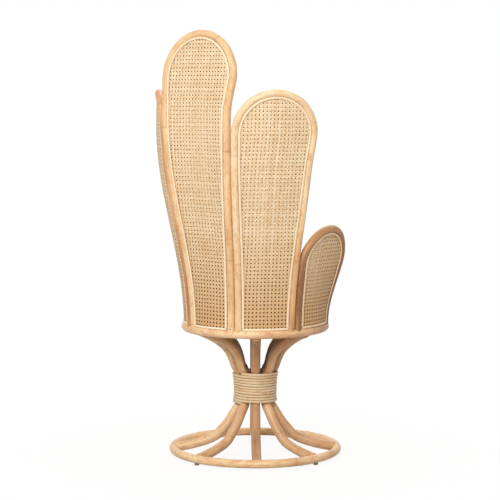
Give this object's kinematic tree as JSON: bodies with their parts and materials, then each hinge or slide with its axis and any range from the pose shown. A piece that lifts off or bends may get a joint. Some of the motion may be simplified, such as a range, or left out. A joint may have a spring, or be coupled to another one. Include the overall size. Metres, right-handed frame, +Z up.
{
  "type": "peacock chair",
  "caption": "Rattan peacock armchair: caned petals flare round a circular cane seat on an hourglass pedestal of bent poles, bound at the waist and footed in a floor ring.",
  "frame": {"origin": "on the floor, under the middle of the chair's outline", "axes": "+Z up; the tall back is towards +Y, so the sitter faces -Y; the sitter's left is +X"},
  "size_m": [0.665, 0.6104, 1.4377],
  "materials": {
    "rattan_pole": "satin lacquered whole rattan",
    "cane_webbing": "natural cane strands, dull",
    "rattan_trim": "split rattan beading, satin",
    "binding_strand": "peeled rattan core strand, dull",
    "dowel": "plain turned wood",
    "glide": "matt dark rubber"
  },
  "bodies": {
    "root": {"floor_ring": "rattan_pole", "glide_1": "glide", "glide_2": "glide", "glide_3": "glide", "glide_4": "glide", "glide_5": "glide", "glide_6": "glide", "pedestal_pole_1": "rattan_pole", "pedestal_pole_2": "rattan_pole", "pedestal_pole_3": "rattan_pole", "pedestal_pole_4": "rattan_pole", "pedestal_pole_5": "rattan_pole", "pedestal_pole_6": "rattan_pole", "pedestal_pole_7": "rattan_pole", "pedestal_pole_8": "rattan_pole", "waist_binding": "binding_strand", "seat_rail": "rattan_pole", "seat_hoop": "rattan_pole", "seat_cane": "cane_webbing", "seat_trim": "rattan_trim", "petal_back_frame": "rattan_pole", "petal_back_cane": "cane_webbing", "petal_back_inner_cane": "cane_webbing", "petal_back_trim": "rattan_trim", "petal_back_sill": "rattan_trim", "petal_left_mid_frame": "rattan_pole", "petal_left_mid_cane": "cane_webbing", "petal_left_mid_inner_cane": "cane_webbing", "petal_left_mid_trim": "rattan_trim", "petal_left_mid_sill": "rattan_trim", "petal_right_mid_frame": "rattan_pole", "petal_right_mid_cane": "cane_webbing", "petal_right_mid_inner_cane": "cane_webbing", "petal_right_mid_trim": "rattan_trim", "petal_right_mid_sill": "rattan_trim", "petal_left_arm_frame": "rattan_pole", "petal_left_arm_cane": "cane_webbing", "petal_left_arm_inner_cane": "cane_webbing", "petal_left_arm_trim": "rattan_trim", "petal_left_arm_sill": "rattan_trim", "petal_right_arm_frame": "rattan_pole", "petal_right_arm_cane": "cane_webbing", "petal_right_arm_inner_cane": "cane_webbing", "petal_right_arm_trim": "rattan_trim", "petal_right_arm_sill": "rattan_trim", "foot_dowel_1": "dowel", "foot_dowel_2": "dowel", "foot_dowel_3": "dowel", "foot_dowel_4": "dowel", "foot_dowel_5": "dowel", "foot_dowel_6": "dowel", "foot_dowel_7": "dowel", "foot_dowel_8": "dowel", "foot_dowel_9": "dowel", "foot_dowel_10": "dowel"}
  },
  "joints": []
}
